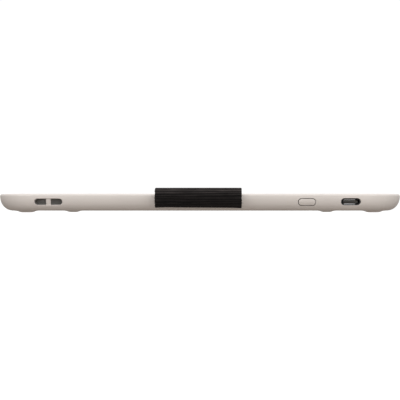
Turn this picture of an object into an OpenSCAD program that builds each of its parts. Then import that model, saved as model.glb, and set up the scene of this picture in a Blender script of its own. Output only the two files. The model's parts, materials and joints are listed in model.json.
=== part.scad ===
// E-reader with a 10.3 inch screen, a pen loop, a strap anchor, a power button and a USB-C port.
// It lies on its four feet at z = 0 with the screen up. The edge with the controls faces -Y.
// Lengths are in millimetres.

/* [Body] */
// Width across the short edge
body_w = 189; // [187:1:196]
// Length along the long edge
body_l = 242; // [240:1:246]
// Thickness from the back plane to the screen face
body_t = 7.8; // [7.8:0.1:8.2]
// Plan radius of the four corners
corner_r = 17; // [15:0.5:18]
// Thickness of the moulded case wall
wall = 1.4; // [1.2:0.1:1.5]
// Height of the front frame, from the parting line to the screen face
frame_h = 1.1; // [1.1:0.1:1.3]
// Height above the back plane at which the side is widest
widest_h = 6.75; // [6.6:0.05:6.75]
// Radius of the upper part of the rounded side
side_r = 7.5; // [7.3:0.1:7.8]
// Radius of the lower part of the rounded side
low_r = 6; // [5.8:0.1:6.2]
// Radius of the rounded rim beside the screen
rim_r = 1; // [0.8:0.05:1]

/* [Feet] */
// Height of each foot below the back plane
foot_h = 0.85; // [0.7:0.05:1]
// Radius at which the flare around each foot reaches the back
foot_r = 6.3; // [5.8:0.1:6.5]
// Radius of the small flat that the foot rests on
foot_flat_r = 1.3; // [1:0.1:2]
// Distance of each foot's centre from both edges
foot_inset = 13; // [12:0.5:15]

/* [Pen loop] */
// Width of the elastic tape
loop_w = 39.4; // [36:0.1:42]
// Outside diameter of the loop
loop_d = 8.94; // [8.6:0.02:9.2]
// Thickness of the elastic tape
tape_t = 1; // [0.8:0.1:1.2]
// Gap between the case and the loop
loop_gap = 0.6; // [0.4:0.1:1]
// Sideways place of the loop's middle
loop_x = -0.8; // [-2:0.1:2]
// Height of the loop's centre above the resting plane
loop_z = 6.72; // [6.6:0.02:6.84]

/* [Power button] */
// Width of the button cap
button_w = 7.8; // [7:0.1:8.5]
// Height of the button cap
button_h = 2.9; // [2.8:0.1:3.2]
// Gap between the cap and the case
button_gap = 0.3; // [0.15:0.05:0.3]
// How far the cap stands out of the case
button_proud = 0.12; // [0.05:0.01:0.2]
// How far the button travels when pressed
button_travel = 0.25; // [0.2:0.05:0.3]
// Sideways place of the button
button_x = 49.3; // [46:0.1:52]
// Height of the button's centre above the resting plane
button_z = 4.75; // [4.75:0.05:4.95]

/* [Strap anchor] */
// Width of the slot in the case
strap_w = 12.8; // [12:0.1:14]
// Height of the slot in the case
strap_h = 2.8; // [2.5:0.1:2.9]
// Width of the bar across the slot
strap_bar_w = 2.2; // [2:0.1:3]
// Sideways place of the slot
strap_x = -69.9; // [-72:0.1:-66]
// Height of the slot's centre above the resting plane
strap_z = 4.9; // [4.85:0.05:4.95]

/* [USB-C port] */
// Width of the opening in the case
usb_hole_w = 9.2; // [8.85:0.05:9.25]
// Height of the opening in the case
usb_hole_h = 3.25; // [2.9:0.05:3.25]
// Sideways place of the port
usb_x = 69.5; // [66:0.1:70]
// Height of the port's centre above the resting plane
port_z = 4.9; // [4.9:0.05:5.05]

/* [Screen] */
// Width of the picture area
active_w = 157.2; // [150:0.1:158]
// Length of the picture area
active_l = 209.6; // [200:0.1:210]
// Width of the case rim around the cover lens
lens_rim = 2; // [1.8:0.1:2.2]
// Thickness of the cover lens
lens_t = 0.55; // [0.5:0.05:0.6]

/* [Battery] */
// Width of each battery cell
cell_w = 61; // [50:1:66]
// Length of each battery cell
cell_l = 110; // [90:1:116]
// Thickness of each battery cell
cell_t = 2.7; // [2.4:0.1:2.8]

/* [Hidden] */
$fn = 96;

// Heights above the resting plane
back_z = foot_h;
top_z = back_z + body_t;
floor_z = back_z + wall;
part_z = top_z - frame_h;

// The screen stack, from the lens down: each layer's underside
lens_z = top_z - lens_t;
border_t = 0.05;
border_z = lens_z - border_t;
gasket_t = 0.1;
ledge_z = border_z - gasket_t;
bond_t = 0.07;
touch_t = 0.28;
touch_z = lens_z - bond_t - touch_t;
guide_t = 0.38;
guide_z = touch_z - guide_t;
film_t = 0.25;
film_z = guide_z - film_t;
backplane_t = 0.47;
backplane_z = film_z - backplane_t;
digitizer_t = 0.4;
digitizer_z = backplane_z - digitizer_t;
shield_t = 0.1;
shield_z = digitizer_z - shield_t;
tape_layer_t = 0.1;
midframe_t = 0.6;
midframe_top = shield_z - tape_layer_t;
midframe_z = midframe_top - midframe_t;

// The rounded side: one large arc from the widest line, then one smaller arc down to the back,
// which it reaches at edge_in from the side
widest_gap = widest_h - low_r;
edge_in = side_r - sqrt(pow(side_r - low_r, 2) - widest_gap * widest_gap);
arc_dz = widest_gap / (side_r - low_r);

// A foot's section: a convex arc on the pad, then an equal concave arc on the cover's flare around it
pad_r = (foot_flat_r + foot_r) / 2;
foot_arc_r = (pow(pad_r - foot_flat_r, 2) + pow(foot_h / 2, 2)) / foot_h;
pad_play = 0.03;
flare_sink = 0.02;
flare_root = 0.2;

// The loop sticks out at -Y, so the case moves to +Y to keep the whole object centred
loop_reach = loop_gap + loop_d;
case_y = loop_reach / 2;
loop_r = loop_d / 2;
bore_r = loop_r - tape_t;
tail_t = 2 * tape_t;
tail_z = loop_z - 2.07;
tail_l = 9.5;
slit_play = 0.2;
clamp_t = 0.7;
clamp_w = loop_w + 4;
loop_screw_y = 7.9;
loop_screws_at = [-14, 0, 14];
pedestal_front = 3.2;
pedestal_l = 7.3;
pedestal_z = back_z + 1.1;

// The cover lens fills the front inside the rim; the ledge under it is 4 mm wide
lens_play = 0.05;
lens_w = body_w - 2 * lens_rim;
lens_l = body_l - 2 * lens_rim;
lens_r = corner_r - lens_rim;
ledge_in = 6;
ledge_w = body_w - 2 * ledge_in;
ledge_l = body_l - 2 * ledge_in;
ledge_r = corner_r - ledge_in;
border_margin = 0.8;

// The display glass: 4 mm beyond the picture on three sides, and a wider ledge for the drivers
panel_margin = 4;
panel_w = active_w + 2 * panel_margin - 0.8;
panel_front = (body_l - active_l) / 2 - panel_margin;
panel_end = panel_front + active_l + 12.4;
film_end = panel_end - 8.2;
guide_end = film_end;
touch_end = panel_end - 0.2;
flex_y = panel_end + 1.3;
flex_t = 0.12;
flex_low = 3.7;
// Each flat cable's place across the case and its width
display_tail = [32, 22];
touch_tail = [0, 16];
digitizer_tail = [14.5, 7];
light_tail = [-14.5, 6];

// Circuit boards and what stands on them
board_t = 0.8;
board_z = floor_z + 0.32;
board_top = board_z + board_t;
main_w = 120;
main_front = 200;
main_l = 30;
main_screws = [[-56, 203.5], [56, 203.5], [-56, 226.5], [56, 226.5]];
io_left = 39;
io_right = 81;
io_front = 5.2;
io_l = 11;
io_screws = [[42.2, 13], [58, 13]];
board_screws_at = concat(main_screws, io_screws);
connector_h = 1;
can_h = 1.55;
can_t = 0.2;
can_at = [-34, 205];
can_size = [44, 19];

// Case screws: the midframe's long sides and its two front tabs
midframe_w = 180;
midframe_r = 9;
midframe_front = panel_front;
midframe_end = panel_end + 0.5;
side_screws = [for (side = [-1, 1]) for (d = [20, 70, 121, 172, 222]) [side * 87, d]];
tab_screws = [[-42, 9], [30, 9]];
case_screws = concat(side_screws, tab_screws);
tab_w = 8;
tab_front = 5.6;
boss_r = 2.4;
boss_z = back_z + 0.6;
post_r = 1.8;
screw_r = 0.8;
screw_play = 0.03;
head_r = 1.5;
head_h = 0.5;
screw_l = 2;
foot_peg_r = 2;
foot_peg_h = 0.7;

// The button: cap, flange behind the wall and the switch it pushes
flange_y = 3.7;
flange_t = 0.6;
flange_grow = [1.6, 0.6];
switch_y = 4.75;
switch_size = [5, 2.3, 2.9];
plunger_r = 0.8;
plunger_end = 5.1;

// USB-C receptacle
usb_w = 8.84;
usb_h = 3.06;
usb_wall = 0.25;
usb_l = 7.35;
usb_y = 1.55;
tongue_w = 6.69;
tongue_t = 0.7;
tongue_y = usb_y + 0.9;
contact_pitch = 0.5;
contact_count = 12;
ground_w = 5.2;
ground_l = 1.5;
ground_gap = 0.43;
ground_t = 0.36;

// Strap anchor
anchor_wall = 0.8;
anchor_end = 8;
bar_recess = 0.4;
bar_end = 2.75;

// Battery
cell_gap = 10;
cell_front = 62;
cell_z = floor_z + 0.15;

body_colour = [0.82, 0.79, 0.76];
dark = [0.16, 0.15, 0.15];
metal = [0.72, 0.72, 0.74];
board_green = [0.08, 0.2, 0.14];
flex_amber = [0.55, 0.33, 0.12];
chip_black = [0.1, 0.1, 0.11];

// ---- Placing and shared shapes ----

// Puts a piece drawn from the -Y edge of the case, with y as the distance from that edge, in its place
module from_edge(x = 0) {
    translate([x, case_y - body_l / 2, 0]) children();
}

// A box from its lowest corner to its highest
module block(low, high) {
    translate(low) cube(high - low);
}

// A flat rounded rectangle outline centred on the origin
module rounded(w, l, r) {
    square([w - 2 * r, l], center = true);
    square([w, l - 2 * r], center = true);
    for (sx = [-1, 1], sy = [-1, 1]) translate([sx * (w / 2 - r), sy * (l / 2 - r)]) circle(r);
}

// A rounded plate in the middle of the case, between two heights
module plate(w, l, r, low, high) {
    translate([0, case_y, low]) linear_extrude(high - low) rounded(w, l, r);
}

// A sharp-cornered plate centred in x, between two distances from the edge and two heights
module sheet(w, front, end, low, high) {
    from_edge() block([-w / 2, front, low], [w / 2, end, high]);
}

// A bar with round ends across x, centred at height z, running along y
module pill(w, h, front, end, z = port_z) {
    translate([-(w - h) / 2, front, z - h / 2]) cube([w - h, end - front, h]);
    for (side = [-1, 1])
        translate([side * (w - h) / 2, front, z]) rotate([-90, 0, 0]) cylinder(r = h / 2, h = end - front);
}

// Half of the case's section, from a corner's axis outwards, cut back by t all over
module edge_section(t) {
    join_z = low_r - (low_r - t) * arc_dz;
    translate([0, t]) square([corner_r - edge_in, body_t - t]);
    intersection() {
        translate([corner_r - edge_in, low_r]) circle(low_r - t);
        translate([corner_r - edge_in - 1, 0]) square([edge_in + 1, join_z]);
    }
    intersection() {
        translate([corner_r - side_r, widest_h]) circle(side_r - t);
        translate([corner_r - edge_in - 1, join_z]) square([edge_in + 2, widest_h - join_z]);
    }
    translate([0, widest_h]) square([corner_r - t, body_t - rim_r - widest_h]);
    translate([0, body_t - rim_r]) square([corner_r - t - rim_r, rim_r]);
    translate([corner_r - t - rim_r, body_t - rim_r]) intersection() {
        circle(rim_r);
        square(rim_r);
    }
}

// The whole case as one solid, cut back by t all over: 0 is the outside, wall is the inside
module case_solid(t) {
    straight_w = body_w - 2 * corner_r;
    straight_l = body_l - 2 * corner_r;
    translate([0, case_y, back_z]) {
        translate([-straight_w / 2, -straight_l / 2, t]) cube([straight_w, straight_l, body_t - t]);
        for (turn = [0, 180]) rotate(turn) {
            translate([straight_w / 2, straight_l / 2, 0]) rotate_extrude(angle = 90) edge_section(t);
            translate([straight_w / 2, -straight_l / 2, 0]) rotate(-90)
                rotate_extrude(angle = 90) edge_section(t);
            translate([straight_w / 2, straight_l / 2, 0]) rotate([90, 0, 0])
                linear_extrude(straight_l) edge_section(t);
            translate([straight_w / 2, -straight_l / 2, 0]) rotate(-90) rotate([90, 0, 0])
                linear_extrude(straight_w) edge_section(t);
        }
    }
}

// A pan-head screw pointing down, with its head's underside at the origin and a cross recess
module screw() {
    difference() {
        union() {
            cylinder(r = head_r, h = head_h);
            translate([0, 0, -screw_l]) cylinder(r = screw_r, h = screw_l);
        }
        for (turn = [0, 90])
            rotate(turn) translate([-0.9, -0.15, head_h - 0.25]) cube([1.8, 0.3, 0.3]);
    }
}

// A hole that a screw's thread holds in, from its blind end upwards
module screw_hole(depth) {
    cylinder(r = screw_r + screw_play, h = depth);
}

// A flat cable from a layer of the display, over the end of the glass and down to the main board
module fold_down(x, w, start, z) {
    back = main_front + main_l - 1.2;
    from_edge(x) {
        block([-w / 2, start, z], [w / 2, flex_y, z + flex_t]);
        block([-w / 2, flex_y - flex_t, flex_low], [w / 2, flex_y, z + flex_t]);
        block([-w / 2, back, flex_low], [w / 2, flex_y, flex_low + flex_t]);
    }
}

// ---- Case ----

module back_cover() {
    color(body_colour) difference() {
        union() {
            difference() {
                case_solid(0);
                case_solid(wall);
            }
            from_edge() {
                for (p = case_screws)
                    translate([p[0], p[1], boss_z]) cylinder(r = boss_r, h = midframe_z - boss_z);
                for (p = board_screws_at)
                    translate([p[0], p[1], boss_z]) cylinder(r = post_r, h = board_z - boss_z);
                block([loop_x - clamp_w / 2, pedestal_front, pedestal_z],
                    [loop_x + clamp_w / 2, pedestal_front + pedestal_l, tail_z]);
            }
            for (sx = [-1, 1], sy = [-1, 1]) foot_place(sx, sy) foot_flare();
        }
        plate(body_w + 10, body_l + 10, 1, part_z, top_z + 1);
        from_edge(strap_x) pill(strap_w, strap_h, -1, 4, strap_z);
        from_edge(button_x) pill(button_w + 2 * button_gap, button_h + 2 * button_gap, -1, 4, button_z);
        from_edge(usb_x) pill(usb_hole_w, usb_hole_h, -1, 4);
        from_edge(usb_x) pill(usb_w + 0.4, usb_h + 0.4, usb_y - 0.05, 4);
        from_edge(loop_x) block([-loop_w / 2 - slit_play, -1, tail_z - 0.1],
            [loop_w / 2 + slit_play, pedestal_front + 0.1, tail_z + tail_t + 0.1]);
        from_edge() {
            for (p = case_screws) translate([p[0], p[1], midframe_z - screw_l]) screw_hole(screw_l + 1);
            for (p = board_screws_at) translate([p[0], p[1], board_z - 1.3]) screw_hole(2);
            for (x = loop_screws_at) translate([loop_x + x, loop_screw_y, tail_z - 1.5]) screw_hole(2);
        }
        for (sx = [-1, 1], sy = [-1, 1]) foot_place(sx, sy)
            translate([0, 0, back_z - 1]) cylinder(r = foot_peg_r + 0.05, h = foot_peg_h + 1.05);
    }
}

// The rim around the lens, with the ledge that the lens is bonded to and the hooks that hold it down
module front_frame() {
    hook_d = 0.8;
    color(body_colour) {
        difference() {
            case_solid(0);
            plate(body_w + 10, body_l + 10, 1, -1, part_z);
            plate(lens_w, lens_l, lens_r, ledge_z, top_z + 1);
            plate(ledge_w, ledge_l, ledge_r, part_z - 1, ledge_z + 1);
        }
        for (side = [-1, 1], d = [45, 95, 147, 197])
            from_edge(side * (body_w / 2 - 2))
                block([-hook_d / 2, d - 3, part_z - 1.1], [hook_d / 2, d + 3, part_z]);
    }
}

// The stiff plate between the display and the electronics
module midframe() {
    rail_t = 0.8;
    rail_x = midframe_w / 2 - rail_t;
    rail_front = 26;
    rail_end = midframe_end - 10;
    tab_end = midframe_front + 1;
    color(metal) difference() {
        from_edge() {
            translate([0, (midframe_front + midframe_end) / 2, midframe_z]) linear_extrude(midframe_t)
                rounded(midframe_w, midframe_end - midframe_front, midframe_r);
            for (p = tab_screws)
                block([p[0] - tab_w / 2, tab_front, midframe_z], [p[0] + tab_w / 2, tab_end, midframe_top]);
            for (side = [-1, 1])
                translate([side * rail_x, 0, 0])
                    block([-rail_t / 2, rail_front, midframe_top], [rail_t / 2, rail_end, part_z - 0.1]);
        }
        from_edge() for (p = case_screws)
            translate([p[0], p[1], midframe_z - 1]) cylinder(r = screw_r + 0.2, h = 3);
    }
}

// Puts a foot in one of the four corners of the back
module foot_place(sx, sy) {
    translate([sx * (body_w / 2 - foot_inset), case_y + sy * (body_l / 2 - foot_inset), 0]) children();
}

// The case flares out around each foot and ends in a seat for its pad
module foot_flare() {
    seat_r = pad_r + pad_play;
    low = foot_h / 2 - 0.1;
    rotate_extrude() difference() {
        translate([seat_r, low]) square([foot_r - seat_r, foot_h + flare_root - low]);
        translate([foot_r, foot_h - foot_arc_r + flare_sink]) circle(foot_arc_r, $fn = 360);
    }
}

// A soft domed pad with a small flat under it and a peg that fits the back cover
module foot(sx, sy) {
    color(body_colour) foot_place(sx, sy) {
        rotate_extrude() {
            square([foot_flat_r, foot_h]);
            intersection() {
                translate([foot_flat_r, foot_arc_r]) circle(foot_arc_r, $fn = 360);
                translate([foot_flat_r - 0.5, 0]) square([pad_r - foot_flat_r + 0.5, foot_h]);
            }
        }
        translate([0, 0, foot_h]) cylinder(r = foot_peg_r, h = foot_peg_h);
    }
}

module foot_front_left() {
    foot(-1, -1);
}

module foot_front_right() {
    foot(1, -1);
}

module foot_rear_left() {
    foot(-1, 1);
}

module foot_rear_right() {
    foot(1, 1);
}

// ---- Pen loop ----

// Elastic tape folded into a loop, its two tails together in the slot of the case
module pen_loop() {
    color(dark) from_edge(loop_x) difference() {
        union() {
            translate([-loop_w / 2, -loop_gap - loop_r, loop_z]) rotate([0, 90, 0])
                cylinder(r = loop_r, h = loop_w);
            block([-loop_w / 2, -loop_gap - loop_r, tail_z], [loop_w / 2, tail_l, tail_z + tail_t]);
        }
        translate([-loop_w / 2 - 1, -loop_gap - loop_r, loop_z]) rotate([0, 90, 0])
            cylinder(r = bore_r, h = loop_w + 2);
        for (x = loop_screws_at)
            translate([x, loop_screw_y, tail_z - 1]) cylinder(r = screw_r + 0.1, h = tail_t + 2);
    }
}

// Steel bar that presses the tails onto the back cover
module loop_clamp() {
    color(metal) from_edge(loop_x) difference() {
        block([-clamp_w / 2, 3.4, tail_z + tail_t], [clamp_w / 2, tail_l + 0.3, tail_z + tail_t + clamp_t]);
        for (x = loop_screws_at)
            translate([x, loop_screw_y, tail_z]) cylinder(r = screw_r + 0.1, h = 5);
    }
}

module loop_screws() {
    shank = tail_t + clamp_t + 1.3;
    color(metal) from_edge(loop_x) for (x = loop_screws_at)
        translate([x, loop_screw_y, tail_z + tail_t + clamp_t]) {
            cylinder(r = head_r, h = 0.4);
            translate([0, 0, -shank]) cylinder(r = screw_r, h = shank);
        }
}

// ---- Strap anchor ----

// Pocket behind the slot: two windows in front that join behind the bar, so a cord can be passed through
module strap_anchor() {
    color([0.5, 0.49, 0.47]) difference() {
        intersection() {
            case_solid(wall + 0.02);
            from_edge(strap_x) block([-strap_w / 2 - anchor_wall, 0.5, strap_z - strap_h / 2 - anchor_wall],
                [strap_w / 2 + anchor_wall, anchor_end, strap_z + strap_h / 2 + anchor_wall]);
        }
        from_edge(strap_x) pill(strap_w, strap_h, 0, anchor_end - anchor_wall, strap_z);
    }
}

// The bar that the strap is looped around: its face follows the rounded side, a little below it
module strap_bar() {
    play = 0.02;
    color(body_colour) intersection() {
        case_solid(bar_recess);
        from_edge(strap_x) block([-strap_bar_w / 2, 0, strap_z - strap_h / 2 + play],
            [strap_bar_w / 2, bar_end, strap_z + strap_h / 2 - play]);
    }
}

// ---- Power button and its switch ----

// Cap that follows the rounded side of the case, with a flange that keeps it in
module power_button() {
    color(body_colour) {
        intersection() {
            case_solid(-button_proud);
            from_edge(button_x) pill(button_w, button_h, -1, flange_y, button_z);
        }
        from_edge(button_x)
            pill(button_w + flange_grow[0], button_h + flange_grow[1],
                flange_y, flange_y + flange_t, button_z);
    }
}

// Nub of the switch, which the flange pushes
module switch_plunger() {
    color(dark) from_edge(button_x) translate([0, flange_y + flange_t, button_z]) rotate([-90, 0, 0])
        cylinder(r = plunger_r, h = plunger_end - flange_y - flange_t);
}

module power_switch() {
    color(chip_black) from_edge(button_x) difference() {
        block([-switch_size[0] / 2, switch_y, board_top],
            [switch_size[0] / 2, switch_y + switch_size[1], board_top + switch_size[2]]);
        translate([0, switch_y - 1, button_z]) rotate([-90, 0, 0])
            cylinder(r = plunger_r + 0.1, h = 1 + plunger_end - switch_y + button_travel + 0.1);
    }
}

// ---- USB-C port and the board at the -Y edge ----

module usb_shell() {
    color([0.18, 0.18, 0.185]) from_edge(usb_x) difference() {
        pill(usb_w, usb_h, usb_y, usb_y + usb_l);
        pill(usb_w - 2 * usb_wall, usb_h - 2 * usb_wall, usb_y - 1, usb_y + usb_l - 0.4);
    }
}

module usb_tongue() {
    back = usb_y + usb_l - 0.4;
    inner_w = usb_w - 2 * usb_wall;
    inner_h = usb_h - 2 * usb_wall;
    color(chip_black) from_edge(usb_x) {
        translate([0, 0, port_z])
            block([-tongue_w / 2, tongue_y, -tongue_t / 2], [tongue_w / 2, back, tongue_t / 2]);
        pill(inner_w - 0.02, inner_h - 0.02, back - 1.2, back);
    }
}

module usb_contacts() {
    first = -(contact_count - 1) * contact_pitch / 2;
    color([0.83, 0.66, 0.3]) from_edge(usb_x)
        for (i = [0 : contact_count - 1], side = [-1, 1])
            translate([first + i * contact_pitch, tongue_y + 0.4, port_z + side * (tongue_t / 2 + 0.03)])
                translate([-0.13, 0, -0.03]) cube([0.26, 3.6, 0.06]);
}

// Two plates at the root of the tongue, above and below it, that a plug's shield bears on
module usb_ground_plates() {
    back = usb_y + usb_l - 1.62;
    low = tongue_t / 2 + ground_gap;
    color([0.75, 0.75, 0.76]) from_edge(usb_x) for (z = [low, -low - ground_t])
        translate([0, 0, port_z + z])
            block([-ground_w / 2, back - ground_l, 0], [ground_w / 2, back, ground_t]);
}

module io_board() {
    color(board_green) difference() {
        from_edge() block([io_left, io_front, board_z], [io_right, io_front + io_l, board_top]);
        from_edge() for (p = io_screws)
            translate([p[0], p[1], board_z - 1]) cylinder(r = screw_r + 0.2, h = 3);
    }
}

module io_connector() {
    color([0.85, 0.83, 0.75]) from_edge() block([66, 11.6, board_top], [78, 15.6, board_top + connector_h]);
}

// Flat cable from the small board, beside the battery, to the main board
module io_flex() {
    run_x = 72;
    run_z = floor_z + 0.02;
    bend = main_front + 15;
    color(flex_amber) from_edge() {
        block([run_x - 4, 15.6, board_top + 0.3], [run_x + 4, 18, board_top + 0.3 + flex_t]);
        block([run_x - 4, 18 - flex_t, run_z], [run_x + 4, 18, board_top + 0.3 + flex_t]);
        block([run_x - 4, 18 - flex_t, run_z], [run_x + 4, bend, run_z + flex_t]);
        block([run_x - 4, bend - flex_t, run_z], [run_x + 4, bend, board_top + 0.3 + flex_t]);
        block([main_w / 2 - 1, bend - 8, board_top + 0.3], [run_x + 4, bend, board_top + 0.3 + flex_t]);
    }
}

// ---- Screen ----

module cover_lens() {
    color([0.85, 0.86, 0.85, 0.5])
        plate(lens_w - 2 * lens_play, lens_l - 2 * lens_play, lens_r - lens_play, lens_z, top_z);
}

// Printed border under the lens, around the picture
module lens_border() {
    color(body_colour) difference() {
        plate(lens_w - 0.4, lens_l - 0.4, lens_r - 0.2, border_z, lens_z);
        plate(active_w + 2 * border_margin, active_l + 2 * border_margin, 1, border_z - 1, lens_z + 1);
    }
}

// Adhesive ring between the border and the ledge of the front frame
module lens_gasket() {
    color(chip_black) difference() {
        plate(lens_w - 0.4, lens_l - 0.4, lens_r - 0.2, ledge_z, border_z);
        plate(ledge_w, ledge_l, ledge_r, ledge_z - 1, border_z + 1);
    }
}

// Clear adhesive between the touch sensor and the lens, inside the border
module optical_bond() {
    grow = 2 * border_margin - 0.2;
    color([0.9, 0.92, 0.92, 0.4]) plate(active_w + grow, active_l + grow, 0.9, lens_z - bond_t, lens_z);
}

module touch_sensor() {
    color([0.8, 0.85, 0.85, 0.4])
        sheet(panel_w + 1, panel_front - 0.2, touch_end, touch_z, touch_z + touch_t);
}

module light_guide() {
    color([0.9, 0.93, 0.95, 0.5])
        sheet(panel_w - 1, panel_front + 1.4, guide_end, guide_z, guide_z + guide_t);
}

// Strip of small lamps along the edge of the light guide
module light_bar() {
    lamps = 16;
    lamp_w = 3;
    strip_w = panel_w - 8;
    pitch = (strip_w - 6) / (lamps - 1);
    strip_z = guide_z + guide_t - 0.14;
    color([0.93, 0.92, 0.85]) from_edge() {
        block([-strip_w / 2, guide_end + 0.1, strip_z], [strip_w / 2, guide_end + 3, strip_z + flex_t]);
        for (i = [0 : lamps - 1])
            translate([-strip_w / 2 + 3 + i * pitch - lamp_w / 2, guide_end + 0.1, guide_z + 0.02])
                cube([lamp_w, 1, guide_t - 0.14]);
    }
}

module epaper_film() {
    color([0.78, 0.78, 0.75]) sheet(panel_w - 2.4, panel_front + 1.4, film_end, film_z, film_z + film_t);
}

module epaper_backplane() {
    color([0.35, 0.37, 0.36])
        sheet(panel_w, panel_front, panel_end, backplane_z, backplane_z + backplane_t);
}

// Slim driver chips on the ledge of the backplane
module display_drivers() {
    color(chip_black) from_edge() for (x = [-60, 0, 60])
        block([x - 9, film_end + 3.4, film_z], [x + 9, film_end + 4.8, film_z + 0.3]);
}

module pen_digitizer() {
    color(board_green)
        sheet(panel_w - 1, panel_front + 0.5, panel_end - 2, digitizer_z, digitizer_z + digitizer_t);
}

module digitizer_shield() {
    color(metal) sheet(panel_w - 1, panel_front + 0.5, panel_end - 2, shield_z, shield_z + shield_t);
}

// Double-sided tape: four strips that hold the display on the midframe
module display_tape() {
    strip = 8;
    low = midframe_top;
    color(chip_black) from_edge() {
        for (side = [-1, 1])
            translate([side * (panel_w / 2 - 6), 0, 0])
                block([-strip / 2, panel_front + 1, low], [strip / 2, panel_end - 3, shield_z]);
        for (d = [panel_front + 1, panel_end - 3 - strip])
            block([-panel_w / 2 + 12, d, low], [panel_w / 2 - 12, d + strip, shield_z]);
    }
}

module display_flex() {
    color(flex_amber) for (side = [-1, 1])
        fold_down(side * display_tail[0], display_tail[1], panel_end - 2.6, film_z);
}

module touch_flex() {
    color(flex_amber) fold_down(touch_tail[0], touch_tail[1], touch_end, touch_z + 0.05);
}

module digitizer_flex() {
    color(flex_amber) fold_down(digitizer_tail[0], digitizer_tail[1], panel_end - 2, digitizer_z + 0.1);
}

module light_flex() {
    color(flex_amber) fold_down(light_tail[0], light_tail[1], guide_end + 3, guide_z + guide_t - 0.14);
}

// ---- Main board ----

module main_board() {
    color(board_green) difference() {
        from_edge() block([-main_w / 2, main_front, board_z], [main_w / 2, main_front + main_l, board_top]);
        from_edge() for (p = main_screws)
            translate([p[0], p[1], board_z - 1]) cylinder(r = screw_r + 0.2, h = 3);
    }
}

// A chip on the main board, given its corner, size and height
module chip(x, d, w, l, h) {
    from_edge() block([x, d, board_top], [x + w, d + l, board_top + h]);
}

module processor() {
    color(chip_black) chip(-30, 208, 14, 14, 1.1);
}

module memory_chips() {
    color(chip_black) {
        chip(-12, 207, 11.5, 8, 0.9);
        chip(-12, 216, 11.5, 7, 1);
    }
}

module power_chip() {
    color(chip_black) chip(16, 208, 7, 7, 0.85);
}

// Coils and capacitors around the power chip
module board_passives() {
    color([0.6, 0.56, 0.48]) {
        for (i = [0 : 2]) chip(26 + i * 4, 209, 2.5, 2.5, 1);
        for (i = [0 : 7], j = [0 : 1]) chip(15 + i * 2.6, 217 + j * 2, 1.6, 0.8, 0.8);
        for (i = [0 : 5]) chip(-52, 208 + i * 2, 1.6, 0.8, 0.8);
    }
}

// One socket for each flat cable that reaches the main board
module flex_connectors() {
    depth = 4;
    edge = main_front + main_l - 1.2;
    left_display_tail = [-display_tail[0], display_tail[1]];
    tails = [display_tail, left_display_tail, touch_tail, digitizer_tail, light_tail];
    color([0.85, 0.83, 0.75]) translate([0, 0, board_top]) from_edge() {
        for (tail = tails) translate([tail[0], edge - depth, 0])
            block([-tail[1] / 2 - 0.9, 0, 0], [tail[1] / 2 + 0.9, depth, connector_h]);
        translate([main_w / 2 - 5, main_front + 6, 0]) cube([4, 10, connector_h]);
        translate([8, main_front + 0.5, 0]) cube([6, 3, connector_h]);
    }
}

module shield_can() {
    low = [can_at[0], can_at[1], board_top];
    size = [can_size[0], can_size[1], can_h];
    lip = [can_t, can_t, 0];
    color(metal) from_edge() difference() {
        block(low, low + size);
        block(low + lip - [0, 0, 1], low + size - lip - [0, 0, can_t]);
    }
}

module thermal_pad() {
    color([0.45, 0.5, 0.62]) from_edge()
        block([-30, 208, board_top + can_h], [-16, 222, midframe_z]);
}

module wireless_module() {
    color(metal) chip(38, 206, 12, 13, 1.5);
}

// ---- Antenna ----

module antenna() {
    color(flex_amber) from_edge() block([62, 226, floor_z + 0.02], [80, 232, floor_z + 0.2]);
}

// A quarter of a round wire's bend, from +X to +Y about the origin
module quarter_turn(bend_r, r) {
    rotate_extrude(angle = 90) translate([bend_r, 0]) circle(r);
}

// Thin coaxial cable from the wireless module to the antenna
module antenna_cable() {
    r = 0.55;
    bend_r = 2;
    z = board_top + 0.8;
    x0 = 47;
    y0 = 219;
    x1 = 68;
    y1 = 228.5;
    turn_y = 223;
    pad_z = floor_z + 0.2;
    color([0.2, 0.2, 0.2]) from_edge() {
        translate([x0, y0, z]) rotate([-90, 0, 0]) cylinder(r = r, h = turn_y - bend_r - y0);
        translate([x0 + bend_r, turn_y - bend_r, z]) rotate(90) quarter_turn(bend_r, r);
        translate([x0 + bend_r, turn_y, z]) rotate([0, 90, 0]) cylinder(r = r, h = x1 - x0 - 2 * bend_r);
        translate([x1 - bend_r, turn_y + bend_r, z]) rotate(-90) quarter_turn(bend_r, r);
        translate([x1, turn_y + bend_r, z]) rotate([-90, 0, 0]) cylinder(r = r, h = y1 - turn_y - bend_r);
        translate([x1, y1, pad_z]) cylinder(r = r + 0.25, h = z - pad_z + r);
    }
}

// Magnetic sensor that a closed cover switches
module cover_sensor() {
    color(chip_black) chip(-50, 212, 1.6, 2.9, 1);
}

// ---- Battery ----

module battery_cells() {
    color([0.72, 0.73, 0.75]) for (side = [-1, 1])
        from_edge(side * (cell_w + cell_gap) / 2)
            block([-cell_w / 2, cell_front, cell_z], [cell_w / 2, cell_front + cell_l, cell_z + cell_t]);
}

module battery_tape() {
    color([0.92, 0.92, 0.9]) for (side = [-1, 1], shift = [-18, 18])
        from_edge(side * (cell_w + cell_gap) / 2 + shift)
            block([-6, cell_front + 4, floor_z], [6, cell_front + cell_l - 4, cell_z]);
}

module battery_board() {
    end = cell_front + cell_l;
    color(board_green) from_edge() {
        block([-28, end + 0.2, cell_z + 0.4], [28, end + 4.4, cell_z + 1.2]);
        for (x = [-18, -10, 10, 18])
            block([x - 1.4, end + 1, cell_z + 1.2], [x + 1.4, end + 3.6, cell_z + 2]);
    }
}

// Three insulated leads from the battery board to its socket on the main board
module battery_lead() {
    r = 0.45;
    start = cell_front + cell_l + 4.4;
    color([0.6, 0.1, 0.1]) from_edge() for (i = [0 : 2])
        translate([9.5 + i * 1.5, start, board_top + 0.45]) rotate([-90, 0, 0])
            cylinder(r = r, h = main_front + 0.5 - start);
}

// ---- Fasteners ----

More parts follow.
